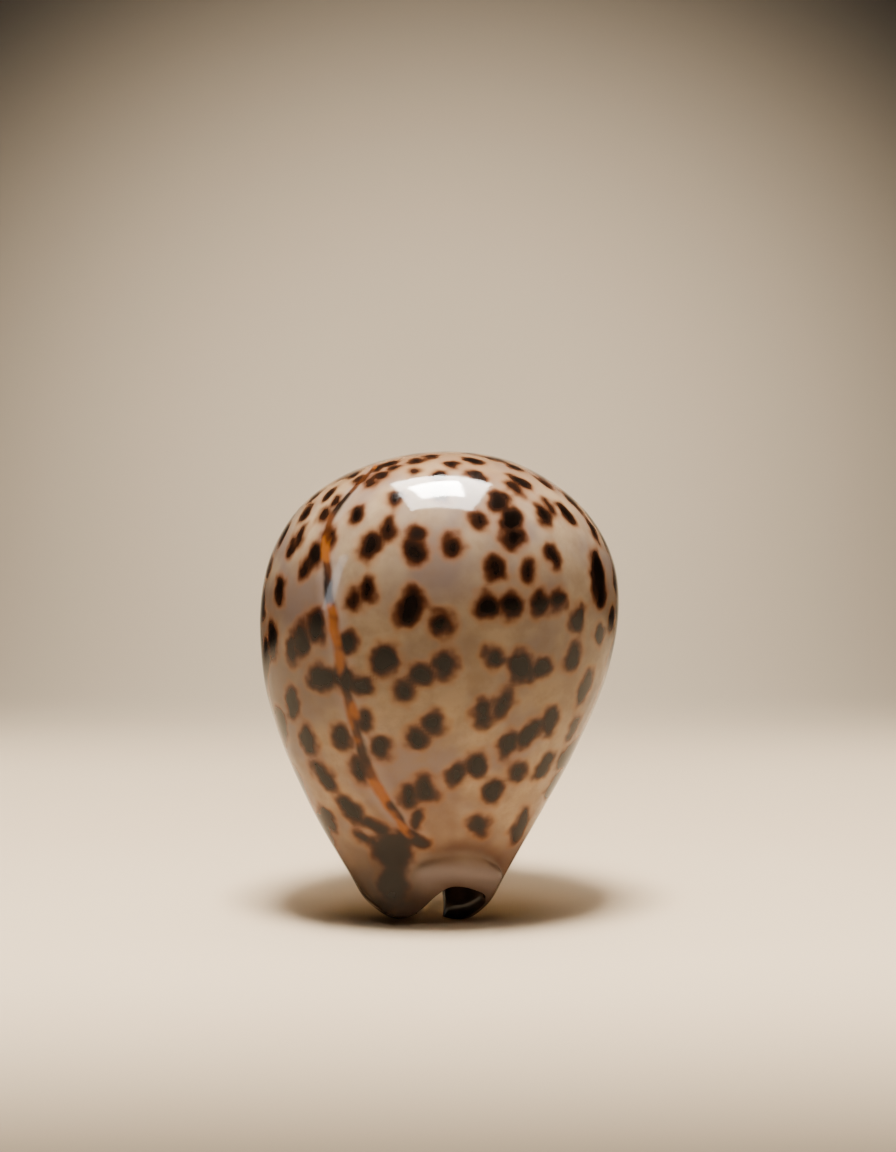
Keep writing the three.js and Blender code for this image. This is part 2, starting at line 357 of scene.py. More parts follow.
def outer_relief(grid):
    """What the outer face alone is lifted by: a fuller base and a rounder bar."""
    turn, v = grid["turn"], grid["v"]
    sides = bump(turn, BASE_BULGE["left"], BASE_BULGE["half_turn"])
    sides = sides + bump(turn, BASE_BULGE["right"], BASE_BULGE["half_turn"])
    between = smooth(v, *BASE_BULGE_RISES) * (1 - smooth(v, *BASE_BULGE_FALLS))
    bulge = BASE_BULGE["height"] * sides * between
    roll = bar_window(turn) * bump(v * FRONT_SCALE, ROLL["behind"], ROLL["half_width"])
    return bulge + ROLL["height"] * roll


def relief(points, tooth_height, rng):
    """How far each point is lifted along its normal, in millimetres."""
    centre = np.array([SPIRE["across"], SPIRE["along"], SPIRE["height"]])
    to_spire = np.linalg.norm(points - centre, axis=-1)
    dimple = -SPIRE["depth"] * bump(to_spire, 0, SPIRE["radius"])
    return TOOTH_HEIGHT * tooth_height + dimple + WAVES["height"] * waves(points, rng)


# ---------------------------------------------------------------- markings

# Spots that stand out, read off the photo and rounded, in millimetres on the back: (across, up, half width,
# half height, lean in degrees, strength). A lean above 0 leans the spot's top to the right. Across and up
# are the part frame's X and Z, and the sizes are as seen from the front.
MARKS = {
    "leaning_spot": [(-5, 58, 2.2, 3.4, 20, 1.0), (0, 55, 2.0, 2.2, 0, 1.0)],
    "upper_pairs": [(8, 58, 2.0, 2.2, 0, 1.0), (12, 58, 2.1, 2.2, 0, 1.0), (17, 58, 1.7, 2.0, 0, 1.0),
                    (20, 58, 1.6, 1.8, 0, 0.9)],
    "bent_blotch": [(10, 75, 1.8, 1.6, 0, 0.9), (12, 72, 2.0, 2.0, 0, 1.0), (12, 69, 1.9, 2.0, 0, 1.0)],
    "faint_cluster": [(-4, 67, 2.0, 2.2, 0, 0.8), (0, 64, 1.6, 1.8, 0, 0.7), (2, 68, 1.8, 2.0, 0, 0.8),
                      (-4, 70, 1.5, 1.2, 0, 0.6)],
    "side_streak": [(27.5, 61, 1.3, 5.0, -8, 1.0)],
    "spots_on_line": [(-20, 45, 2.3, 2.2, 0, 1.0), (-16, 45, 1.8, 2.0, 0, 1.0),
                      (-13, 44, 1.7, 1.7, 0, 0.9)],
    "middle_row": [(-9, 49, 2.3, 2.8, 12, 1.0), (1, 48, 2.0, 2.4, 8, 1.0), (9, 49, 1.8, 2.0, 0, 1.0)],
    "middle_pair": [(14, 47, 2.2, 3.0, 0, 1.0), (17, 47, 1.7, 1.8, 0, 1.0)],
    "capsules": [(-3, 46, 2.0, 2.0, 0, 1.0), (-6, 43, 1.9, 1.9, 0, 1.0), (-1, 38, 1.8, 1.8, 0, 0.95),
                 (-4, 35, 1.7, 1.8, 0, 0.95)],
    "low_pair": [(9, 25, 1.8, 2.4, 15, 0.8), (13, 28, 1.6, 2.0, 10, 0.8)],
    "low_streaks": [(-20, 27, 1.3, 3.0, -35, 0.85), (-15, 21, 1.5, 3.0, -45, 0.85),
                    (14, 18, 1.1, 3.4, 20, 0.6)],
    "blotch": [(-8, 13.5, 3.3, 3.8, 0, 0.5), (-11, 18, 0.8, 2.8, -60, 0.5), (-12, 15.5, 0.8, 2.8, -65, 0.5),
               (-4.5, 16, 1.0, 3.0, -60, 0.5), (-4, 20, 0.6, 1.8, 10, 0.5), (-8, 8, 2.4, 3.6, 0, 0.45)],
}
SEEN_LIMIT = 3.0  # a mark near the outline is stretched back by at most this much

# The other spots lie in short rows that climb to the right. Each list runs from the front to the rear, and
# a spot's length is a share of its radius.
SPOT_RADIUS = [0.9, 1.4, 1.8, 2.0, 2.0, 1.75, 1.4, 1.15]
SPOT_LENGTH = [1.5, 1.4, 1.3, 1.2, 1.15, 1.1, 1.1, 1.1]
SPOT_STRENGTH = [0.5, 0.75, 0.85, 0.95, 1.0, 1.0, 0.95, 0.9]
RADIUS_VARIES = (0.78, 1.2)
LENGTH_VARIES = (0.95, 1.15)
STRENGTH_VARIES = (0.85, 1.0)
SPOT_SWAY = 0.25  # in radians
MIDDLE_TURN = 90
MARGIN_TURN = 100  # from the middle of the back to a margin
AT_MARGIN = {"narrower": 0.25, "longer": 0.5, "fainter": 0.35, "fainter_from": 0.6, "fainter_to": 1.1}
ROW_CLIMB = math.radians(35)
ROW_LENGTHS = [1, 1, 2, 2, 3]
ROW_STEP = (2.0, 2.9)  # in radii
ROW_CLOSER = 0.95
SPACING = 3.15  # in mean radii
SPACING_IN_ROW = 0.85  # of the spacing
SPOT_TRIES = 5000
FIRST_SPOT = 15.0  # along: nearer to the front there are none
SPOTTED_TURN = (-16, 196)
SPOT_REACH = 3.0  # how far from its edge a spot is felt
SPOT_BLEND = 0.22
STRENGTH_BLEND = 0.7
STRENGTH_AWAY = 0.8  # the strength where no spot is near
FAINTEST = 1e-6  # how much that counts beside the spots' own
NO_SLOPE = 1e-4

# Soft patches of older spots.
GHOSTS = 90
GHOST_RADIUS = (1.6, 3.4)
GHOST_STRENGTH = (0.4, 1)

# The line where the mantle's two flaps met: its place across at evenly spaced heights, lowest first, in the
# part frame's X and Z.
LINE_HEIGHTS = (17, 80)
LINE_ACROSS = [-5.0, -10.0, -13.2, -15.0, -16.8, -18.0, -19.0, -18.0, -11.0]
LINE_FAR = 9.0  # distances are held to this
LEAST_FACING = 0.3  # where the surface turns farther away than this, it counts as this

# The pale base: it begins over these turns at each side, and over these millimetres along at the front.
BASE_RIGHT = (-34, -10)
BASE_LEFT = (190, 214)
BASE_ALONG = (0, 9)

# The front's colours, in millimetres. The feet's own dark brown, made near black by painted shade, is
# darkest up to "from" along and ends at "to", or farther back on the left. Left turns into right over a
# stretch across. The groove's rust, darkened by painted shade, is on its right alone.
FOOT_DARK_AND_SHADE_REACH = {"from": 2.0, "to": 11.0, "more_left": 8.0, "right_share": 0.45}
FOOT_LEFT_TO_RIGHT = (-9, 3)
BAR_COLOUR_WIDER = 1.1
GROOVE_RUST_AND_SHADE_BAND = {"behind": 0.2, "half_width": 1.1}
GROOVE_LEFT_TO_RIGHT = (-6, 2)

# The inner face: painted shade near the front, where the canal is in shade, and pale farther in, in
# millimetres along or from the nearest edge.
INNER_SHADE_ALONG = (7, 24)
INNER_PALE_ALONG = (5, 16)
INNER_PALE_FROM_EDGE = (1.0, 9.0)

SHELL_LENGTH = 83.0
FAR = 100.0  # farther than any two points of the shell


class Surface:
    """The outer face's points with their directions, in millimetres in the part frame."""

    def __init__(self, points, grid, along):
        self.points = points.reshape(-1, 3)
        rightward = unit(np.gradient(points, axis=1))
        rearward = unit(np.gradient(points, axis=0))
        normal = unit(np.cross(rightward, rearward))
        self.normal = normal.reshape(-1, 3)
        self.rearward = rearward.reshape(-1, 3)
        self.rightward = unit(np.cross(rearward, normal)).reshape(-1, 3)
        self.turn = grid["turn"].ravel()
        self.along = along.ravel()

    def nearest(self, point):
        """The id of the point nearest to a place."""
        return int(np.argmin(((self.points - point) ** 2).sum(-1)))

    def on_back(self, across, up):
        """The id of the back's point that is seen at a place across and up."""
        away = np.hypot(self.points[:, 0] - across, self.points[:, 2] - up)
        return int(np.argmin(away + FAR * (self.normal[:, 1] > 0)))


def drawn_mark(surface, mark):
    """A mark as an ellipse on the surface: (point id, its two axes, its two half sizes, strength)."""
    across, up, half_width, half_height, lean, strength = mark
    i = surface.on_back(across, up)
    normal = surface.normal[i]
    lean = math.radians(lean)
    tall = np.array([math.sin(lean), 0.0, math.cos(lean)])
    wide = np.array([math.cos(lean), 0.0, -math.sin(lean)])
    sizes, axes = [], []
    for direction, size in ((wide, half_width), (tall, half_height)):
        on_surface = direction - normal * (direction @ normal)
        shrink = max(np.linalg.norm(on_surface), 1 / SEEN_LIMIT)
        axes.append(unit(on_surface))
        sizes.append(size / shrink)
    return i, axes[0], axes[1], sizes[0], sizes[1], strength


def from_list(values, share):
    """The value at a share of the way along a list of evenly spaced ones."""
    return float(np.interp(share, np.linspace(0, 1, len(values)), values))


def ruled_spot(surface, i, rng):
    """A spot of the usual size, length and strength for its place."""
    share = surface.along[i] / SHELL_LENGTH
    aside = abs(surface.turn[i] - MIDDLE_TURN) / MARGIN_TURN
    fainter = AT_MARGIN["fainter"] * smooth(aside, AT_MARGIN["fainter_from"], AT_MARGIN["fainter_to"])
    radius = from_list(SPOT_RADIUS, share)
    length = from_list(SPOT_LENGTH, share)
    strength = from_list(SPOT_STRENGTH, share)
    radius *= rng.uniform(*RADIUS_VARIES) * (1 - AT_MARGIN["narrower"] * aside)
    length *= rng.uniform(*LENGTH_VARIES) * (1 + AT_MARGIN["longer"] * aside)
    strength *= rng.uniform(*STRENGTH_VARIES) * (1 - fainter)
    sway = rng.normal(0, SPOT_SWAY)
    wide = math.cos(sway) * surface.rightward[i] - math.sin(sway) * surface.rearward[i]
    tall = math.sin(sway) * surface.rightward[i] + math.cos(sway) * surface.rearward[i]
    return i, wide, tall, radius, radius * length, strength


def spotted(surface, i):
    """Whether point i is on the spotted part of the shell."""
    low, high = SPOTTED_TURN
    return surface.along[i] > FIRST_SPOT and low < surface.turn[i] < high


def clear_of(surface, i, radius, spots, factor):
    """Whether a spot at point i is at least a factor of the mean radius from every other."""
    for spot in spots:
        away = np.linalg.norm(surface.points[i] - surface.points[spot[0]])
        if away < factor * (radius + (spot[3] + spot[4]) / 2) / 2:
            return False
    return True


def spot_row(surface, i, spots, rng):
    """A short row of spots from point i, each a step up to the right of the last."""
    row = []
    length = ROW_LENGTHS[rng.integers(len(ROW_LENGTHS))]
    for _ in range(length):
        spot = ruled_spot(surface, i, rng)
        wanted = SPACING if not row else SPACING * SPACING_IN_ROW
        if not spotted(surface, i) or not clear_of(surface, i, spot[3], spots, wanted):
            break
        row.append(spot)
        climb = math.cos(ROW_CLIMB) * surface.rightward[i] + math.sin(ROW_CLIMB) * surface.rearward[i]
        step = spot[3] * rng.uniform(*ROW_STEP) * ROW_CLOSER
        i = surface.nearest(surface.points[i] + climb * step)
    return row


def all_spots(surface, rng):
    """The listed marks, and the other spots by rule where there is room."""
    spots = [drawn_mark(surface, mark) for marks in MARKS.values() for mark in marks]
    for i in rng.integers(len(surface.points), size=SPOT_TRIES):
        spots += spot_row(surface, int(i), spots, rng)
    return spots


def ellipse_distance(across, along, deep, half_width, half_height):
    """Roughly the signed distance to an ellipse's edge, below 0 inside it."""
    thick, thin = max(half_width, half_height), min(half_width, half_height)
    first = np.sqrt((across / half_width) ** 2 + (along / half_height) ** 2 + (deep / thick) ** 2)
    second = np.sqrt(
        (across / half_width**2) ** 2 + (along / half_height**2) ** 2 + (deep / thick**2) ** 2
    )
    # At the ellipse's very middle both are 0, and the edge is its smaller half size away.
    scale = np.divide(first, second, out=np.full_like(first, thin), where=second > NO_SLOPE)
    return (first - 1) * scale


def spot_field(surface, spots):
    """The distance to the spots' edges, run together where they touch, and the nearest one's strength."""
    near = np.full(len(surface.points), np.exp(-SPOT_REACH / SPOT_BLEND))
    weight = np.full(len(surface.points), FAINTEST)
    strength = weight * STRENGTH_AWAY
    for i, wide, tall, half_width, half_height, tone in spots:
        offset = surface.points - surface.points[i]
        reach = max(half_width, half_height) + SPOT_REACH
        close = np.flatnonzero((offset**2).sum(-1) < reach**2)
        offset = offset[close]
        distance = ellipse_distance(
            offset @ wide, offset @ tall, offset @ surface.normal[i], half_width, half_height
        )
        distance = np.clip(distance, -SPOT_REACH, SPOT_REACH)
        near[close] += np.exp(-distance / SPOT_BLEND)
        share = np.exp(-distance / STRENGTH_BLEND)
        weight[close] += share
        strength[close] += share * tone
    distance = -SPOT_BLEND * np.log(near)
    return np.clip(distance, -SPOT_REACH, SPOT_REACH), strength / weight


def ghost_field(surface, rng):
    """Soft patches of older spots, sunk under later glaze, from 0 to 1."""
    field = np.zeros(len(surface.points))
    for i in rng.integers(len(surface.points), size=GHOSTS):
        if spotted(surface, i):
            away = np.linalg.norm(surface.points - surface.points[i], axis=-1)
            strength = rng.uniform(*GHOST_STRENGTH)
            field = np.maximum(field, strength * bump(away, 0, rng.uniform(*GHOST_RADIUS)))
    return field


def line_field(surface):
    """Signed distance to the mantle line, above 0 on its right, and the distance past its ends."""
    low, high = LINE_HEIGHTS
    up = surface.points[:, 2]
    across = spline(LINE_ACROSS)((up - low) / (high - low))
    facing = np.maximum(-surface.normal[:, 1], LEAST_FACING)
    distance = (surface.points[:, 0] - across) / facing
    past_end = np.maximum(np.maximum(low - up, up - high), 0)
    past_end = np.where(surface.normal[:, 1] < 0, past_end, LINE_FAR)
    return np.clip(distance, -LINE_FAR, LINE_FAR), np.clip(past_end, 0, LINE_FAR)


def base_share(turn):
    """0 on the spotted back, 1 on the pale base."""
    return np.maximum(1 - smooth(turn, *BASE_RIGHT), smooth(turn, *BASE_LEFT))


# ---------------------------------------------------------------- nodes


def linear(red, green, blue):
    """A colour given as 0 to 255 screen values, as the linear values that a shader takes (sRGB's rule)."""
    shares = [c / 255 for c in (red, green, blue)]
    return tuple(c / 12.92 if c <= 0.04045 else ((c + 0.055) / 1.055) ** 2.4 for c in shares) + (1.0,)


# A mix node's two colours among its inputs, and its colour among its outputs.
MIX_FIRST, MIX_SECOND, MIX_COLOUR = 6, 7, 2


class Graph:
    """Short calls for making a material's nodes."""

    def __init__(self, name):
        self.material = bpy.data.materials.new(name)
        self.material.use_nodes = True
        self.nodes = self.material.node_tree.nodes
        self.links = self.material.node_tree.links
        self.shader = self.nodes["Principled BSDF"]

    def feed(self, socket, value):
        """A socket's value: a link from another socket, or a constant on the socket itself."""
        if isinstance(value, bpy.types.NodeSocket):
            self.links.new(value, socket)
        else:
            socket.default_value = value

    def attribute(self, name):
        """A number that the mesh holds at each point."""
        node = self.nodes.new("ShaderNodeAttribute")
        node.attribute_name = name
        return node.outputs["Fac"]

    def place(self):
        """The point's place in its own object, in metres."""
        return self.nodes.new("ShaderNodeTexCoord").outputs["Object"]

    def noise(self, length_mm, detail=2.0, roughness=0.5):
        """Noise with features of this length, mostly between 0.3 and 0.7."""
        node = self.nodes.new("ShaderNodeTexNoise")
        node.inputs["Scale"].default_value = 1 / (length_mm * MM)
        node.inputs["Detail"].default_value = detail
        node.inputs["Roughness"].default_value = roughness
        self.links.new(self.place(), node.inputs["Vector"])
        return node.outputs["Fac"]

    def math(self, operation, a, b=0.0, clamp=False):
        """The result of one operation, held to 0 to 1 if clamped."""
        node = self.nodes.new("ShaderNodeMath")
        node.operation = operation
        node.use_clamp = clamp
        self.feed(node.inputs[0], a)
        self.feed(node.inputs[1], b)
        return node.outputs[0]

    def span(self, value, low, high, out_low=0.0, out_high=1.0):
        """A value carried smoothly from low..high to out_low..out_high."""
        node = self.nodes.new("ShaderNodeMapRange")
        node.interpolation_type = "SMOOTHSTEP"
        self.feed(node.inputs["Value"], value)
        node.inputs["From Min"].default_value = low
        node.inputs["From Max"].default_value = high
        node.inputs["To Min"].default_value = out_low
        node.inputs["To Max"].default_value = out_high
        return node.outputs["Result"]

    def mix(self, share, a, b):
        """Colour a, with this share of colour b."""
        node = self.nodes.new("ShaderNodeMix")
        node.data_type = "RGBA"
        self.feed(node.inputs[0], share)
        self.feed(node.inputs[MIX_FIRST], a)
        self.feed(node.inputs[MIX_SECOND], b)
        return node.outputs[MIX_COLOUR]

    def ramp(self, value, stops):
        """A value from 0 to 1 as a colour between stops of (position, colour)."""
        node = self.nodes.new("ShaderNodeValToRGB")
        self.feed(node.inputs["Fac"], value)
        elements = node.color_ramp.elements
        elements[0].position, elements[0].color = stops[0]
        elements[1].position, elements[1].color = stops[-1]
        for position, colour in stops[1:-1]:
            elements.new(position).color = colour
        return node.outputs["Color"]

    def bumped(self, height, distance_mm, strength):
        """Fine relief on the shading alone."""
        node = self.nodes.new("ShaderNodeBump")
        node.inputs["Distance"].default_value = distance_mm * MM
        node.inputs["Strength"].default_value = strength
        self.links.new(height, node.inputs["Height"])
        self.links.new(node.outputs["Normal"], self.shader.inputs["Normal"])


CREAM = linear(186, 162, 128)
LILAC = linear(132, 116, 109)
TAN = linear(136, 109, 83)
PINK = linear(98, 68, 55)
MIDDLE_BROWN = linear(96, 79, 66)
CROWN = linear(150, 112, 72)
BASE_WHITE = linear(246, 238, 226)
BASE_BLUSH = linear(232, 205, 178)
# painted shade between the teeth
TOOTH_GAP_SHADE = linear(206, 176, 146)
GHOST_BLUE = linear(112, 102, 108)
LINE_COLOURS = [linear(20, 10, 7), linear(50, 25, 12), linear(84, 43, 17), linear(138, 78, 26)]
LINE_LILAC = linear(142, 124, 118)
SPOT_CORE = linear(10, 6, 4)
SPOT_BROWN = linear(46, 26, 16)
SPOT_RUST = linear(88, 46, 20)
SPOT_HALO = linear(140, 92, 52)
SPOT_PALE = linear(44, 33, 27)
# the feet's own dark brown, made near black by painted shade; on the inner face it is painted shade in the
# canal
FOOT_DARK_AND_SHADE = linear(21, 14, 11)
# the front tips' own mauve, darker as painted shade
FOOT_MAUVE_AND_SHADE = linear(108, 82, 68)
BAR_MAUVE = linear(120, 108, 106)
# the groove's own rust, darkened by painted shade
GROOVE_RUST_AND_SHADE = linear(60, 26, 9)

# Where the ground changes along the shell, as shares of its length, and how much of each colour there is.
PINK_ALONG = (0.42, 0.16)
PINK_SHARES = (0.35, 0.75)  # it varies with noise
CROWN_ALONG = (0.72, 0.96)
CROWN_SHARE = 0.7
# the front tips' mauve with its painted shade
MAUVE_AND_SHADE_ALONG = (0.24, 0.09)
MAUVE_AND_SHADE_SHARE = 0.8
MIDDLE_BEGINS = (0.25, 0.45)
MIDDLE_ENDS = (0.88, 0.62)
MIDDLE_SHARE = 0.62
TAN_SHARE = 0.5
GHOST_SHARES = (0.35, 0.6)

# The mantle line: how far it wavers, and the distances from its middle over which its colours end.
LINE_WAVER = 0.45
LINE_EDGE = (1.7, 0.5)
LINE_SHARE = 0.95
BESIDE_LINE_EDGE = (4.0, 1.4)
BESIDE_LINE_SHARE = 0.4

# How much of the bar's colour there is, and of the groove's rust with its painted shade.
BAR_SHARE = 0.85
GROOVE_RUST_AND_SHADE_SHARE = 0.55

# The spots' edges, in millimetres, above 0 outside them: how far coarse and fine noise move them, where
# each colour takes over from the one inside it, and where the whole spot ends. Below full strength a spot
# is fainter.
SPOT_COARSE = (-0.45, 0.55)
SPOT_FINE = (-0.08, 0.08)
SPOT_BROWN_AT = (-1.4, 0.0)
SPOT_RUST_AT = (-0.5, 0.55)
SPOT_HALO_AT = (0.2, 1.2)
SPOT_ENDS = (1.8, -0.3)
SPOT_LEAST_COVER = 0.3
SPOT_FULL_STRENGTH = 0.45

# The pale base: how far noise moves its edge, and how low and how dark the painted shade in the gaps
# between the teeth is.
BASE_EDGE_MOVES = 0.18
GAP_SHADE_BELOW = 0.55
GAP_SHADE_SHARE = 0.7

# The glaze, with fine wear in it. It steps down a little over the spots.
GLAZE_ROUGHNESS = (0.05, 0.13)
GLAZE_IOR = 1.3
WEAR_LENGTH = 2.2
WEAR_DEPTH = 0.06
WEAR_STRENGTH = 0.35
SPOT_STEP_AT = (-0.3, 0.6)
SPOT_STEP = 0.15


def ground_colour(g):
    """The shell between its spots: cream to lilac, pinker at the front, browner in the middle and crown, and
    mauve at the front tips, darker there as painted shade.
    """
    along = g.attribute("along")
    patches = g.span(g.noise(15, detail=3, roughness=0.55), 0.36, 0.64)
    fine = g.span(g.noise(4, detail=4, roughness=0.6), 0.35, 0.7)
    colour = g.mix(patches, CREAM, LILAC)
    colour = g.mix(g.math("MULTIPLY", fine, TAN_SHARE), colour, TAN)
    blush = g.span(g.noise(12), 0.35, 0.6, *PINK_SHARES)
    colour = g.mix(g.math("MULTIPLY", g.span(along, *PINK_ALONG), blush), colour, PINK)
    colour = g.mix(g.span(along, *CROWN_ALONG, 0.0, CROWN_SHARE), colour, CROWN)
    ghost = g.math("MULTIPLY", g.attribute("ghost"), g.span(fine, 0.0, 1.0, *GHOST_SHARES))
    colour = g.mix(ghost, colour, GHOST_BLUE)
    # mauve at the front tips, darker as painted shade
    colour = g.mix(g.span(along, *MAUVE_AND_SHADE_ALONG, 0.0, MAUVE_AND_SHADE_SHARE), colour, FOOT_MAUVE_AND_SHADE)
    middle = g.span(along, *MIDDLE_ENDS, 0.0, MIDDLE_SHARE)
    middle = g.math("MULTIPLY", g.span(along, *MIDDLE_BEGINS), middle)
    return g.mix(middle, colour, MIDDLE_BROWN)


def line_distance(g):
    """The distance to the mantle line, which wavers a little."""
    waver = g.span(g.noise(5), 0.2, 0.8, -LINE_WAVER, LINE_WAVER)
    wavering = g.math("ADD", g.attribute("line"), waver)
    return g.math("ADD", g.math("ABSOLUTE", wavering), g.attribute("line_end"))


def beside_line(g, colour, away):
    """The colour with the paler lilac that lies beside the mantle line."""
    return g.mix(g.span(away, *BESIDE_LINE_EDGE, 0.0, BESIDE_LINE_SHARE), colour, LINE_LILAC)


def with_line(g, colour, away):
    """The colour with the mantle line over it, in patches of its own colours."""
    patches = g.span(g.noise(7), 0.38, 0.62)
    stops = [(i / (len(LINE_COLOURS) - 1), c) for i, c in enumerate(LINE_COLOURS)]
    return g.mix(g.span(away, *LINE_EDGE, 0.0, LINE_SHARE), colour, g.ramp(patches, stops))


def with_front(g, colour):
    """The colour with the dark feet and their painted shade, the pale bar, and the rusty groove behind the
    bar, darkened by painted shade, over it.
    """
    # painted shade: the feet's own dark brown made near black, and the canal's inner face made dark
    dark = g.math("MULTIPLY", g.attribute("foot"), g.span(g.noise(6, detail=3), 0.2, 0.8, 0.75, 1.0))
    colour = g.mix(dark, colour, FOOT_DARK_AND_SHADE)
    colour = g.mix(g.math("MULTIPLY", g.attribute("bar"), BAR_SHARE), colour, BAR_MAUVE)
    # the groove's rust, darkened by painted shade
    return g.mix(g.math("MULTIPLY", g.attribute("groove"), GROOVE_RUST_AND_SHADE_SHARE), colour, GROOVE_RUST_AND_SHADE)


def spot_distance(g):
    """The distance to the spots' edges with the edges made a little ragged."""
    coarse = g.span(g.noise(2.8, detail=1, roughness=0.4), 0.25, 0.75, *SPOT_COARSE)
    fine = g.span(g.noise(1.0, detail=1, roughness=0.4), 0.2, 0.8, *SPOT_FINE)
    return g.math("ADD", g.math("ADD", g.attribute("spot"), coarse), fine)


def with_spots(g, colour, distance):
    """The colour with the spots over it, from a dark core through brown and rust to a pale halo."""
    strength = g.attribute("spot_strength")
    uneven = g.math("MULTIPLY", strength, g.span(g.noise(2.4, detail=3), 0.3, 0.6, 0.9, 1.0))
    hue = g.mix(uneven, SPOT_PALE, SPOT_CORE)
    hue = g.mix(g.span(distance, *SPOT_BROWN_AT), hue, SPOT_BROWN)
    hue = g.mix(g.span(distance, *SPOT_RUST_AT), hue, SPOT_RUST)
    hue = g.mix(g.span(distance, *SPOT_HALO_AT), hue, SPOT_HALO)
    most = g.span(strength, 0.0, SPOT_FULL_STRENGTH, SPOT_LEAST_COVER, 1.0)
    return g.mix(g.math("MULTIPLY", g.span(distance, *SPOT_ENDS), most), colour, hue)


def with_base(g, colour):
    """The colour with the pale base over it, with painted shade between the teeth."""
    blush = g.mix(g.span(g.noise(11, detail=3), 0.35, 0.7), BASE_WHITE, BASE_BLUSH)
    # painted shade in the gaps between the teeth
    gap_shade = g.span(g.attribute("tooth"), GAP_SHADE_BELOW, 0.0, 0.0, GAP_SHADE_SHARE)
    pale = g.mix(g.math("MULTIPLY", g.attribute("lip"), gap_shade), blush, TOOTH_GAP_SHADE)
    moved = g.span(g.noise(7, detail=3), 0.2, 0.8, -BASE_EDGE_MOVES, BASE_EDGE_MOVES)
    edge = g.math("ADD", g.attribute("base"), moved, clamp=True)
    return g.mix(g.span(edge, 0.25, 0.75), colour, pale)


def shell_material():
    """The glazed, spotted surface, with very fine wear in the glaze."""
    g = Graph("shell_glaze")
    distance = spot_distance(g)
    to_line = line_distance(g)
    colour = with_spots(g, beside_line(g, ground_colour(g), to_line), distance)
    colour = with_base(g, with_line(g, colour, to_line))
    colour = with_front(g, colour)
    g.feed(g.shader.inputs["Base Color"], colour)
    gloss = g.span(g.noise(3, detail=5, roughness=0.7), 0.25, 0.8, *GLAZE_ROUGHNESS)
    g.feed(g.shader.inputs["Roughness"], gloss)
    g.shader.inputs["IOR"].default_value = GLAZE_IOR
    spot_edge = g.math("MULTIPLY", g.span(distance, *SPOT_STEP_AT), SPOT_STEP)
    wear = g.math("ADD", g.noise(WEAR_LENGTH, detail=4, roughness=0.6), spot_edge)
    g.bumped(wear, WEAR_DEPTH, WEAR_STRENGTH)
    return g.material


# ---------------------------------------------------------------- pieces


def float_attribute(mesh, name, values):
    """A number at each of the mesh's points, for the material to read."""
    made = mesh.attributes.new(name, "FLOAT", "POINT")
    made.data.foreach_set("value", np.asarray(values, np.float32))


def tooth_values(outer, inner):
    """Tooth height and toothed strip for every point of the mesh."""
    found = []
    for face, inside in ((outer, False), (inner, True)):
        along = face[..., 1]
        first = teeth(along, lip_distance(face, "outer"), inside, OUTER_TEETH)
        second = teeth(along, lip_distance(face, "inner"), inside, INNER_TEETH)
        found.append([np.maximum(a, b) for a, b in zip(first, second)])
    return [both_faces(a, b) for a, b in zip(*found)]


def lined_up(points):
    """Points in metres, moved so that the box's middle and top are the CAD solid's."""
    low, high = (np.array(corner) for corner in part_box(NODE))
    own_low, own_high = points.min(0), points.max(0)
    move = (low + high - own_low - own_high) / 2
    move[2] = high[2] - own_high[2]
    return points + move


def lifted(mesh, points, lift):
    """The mesh's points moved along its normals by lift, in metres."""
    normals = np.zeros(len(points) * 3, np.float32)
    mesh.vertex_normals.foreach_get("vector", normals)
    return points + normals.reshape(-1, 3) * lift[:, None]


def smoothed(mesh, points, share):
    """Points drawn towards their neighbours' middle, each by its own share, several times over."""
    edges = np.zeros(len(mesh.edges) * 2, np.int32)
    mesh.edges.foreach_get("vertices", edges)
    edges = edges.reshape(-1, 2)
    edges = edges[(share[edges] > 0).any(1)]
    first = np.concatenate([edges[:, 0], edges[:, 1]])
    second = np.concatenate([edges[:, 1], edges[:, 0]])
    count = np.maximum(np.bincount(first, minlength=len(points)), 1)[:, None]
    for _ in range(SMOOTH_PASSES):
        total = np.stack([np.bincount(first, points[second, k], len(points)) for k in range(3)], 1)
        points = points + (total / count - points) * (share * SMOOTH_STEP)[:, None]
    return points


def grounded(metres):
    """The lowest points eased onto the ground, with no crease where they meet it."""
    soft = GROUND_SOFTNESS * MM
    up = metres[:, 2]
    eased = (up + np.sqrt(up**2 + soft**2)) / 2
    fade = 1 - smooth(up, 0, GROUND_FADE * soft)
    metres[:, 2] = eased - eased.min() * fade
    return metres


def marking_values(points, grid, along, rng):
    """The spots, the older spots and the mantle line, for each point of the outer face."""
    surface = Surface(points, grid, along)
    spot, strength = spot_field(surface, all_spots(surface, rng))
    line, line_end = line_field(surface)
    return {
        "spot": spot,
        "spot_strength": strength,
        "ghost": ghost_field(surface, rng),
        "line": line,
        "line_end": line_end,
    }


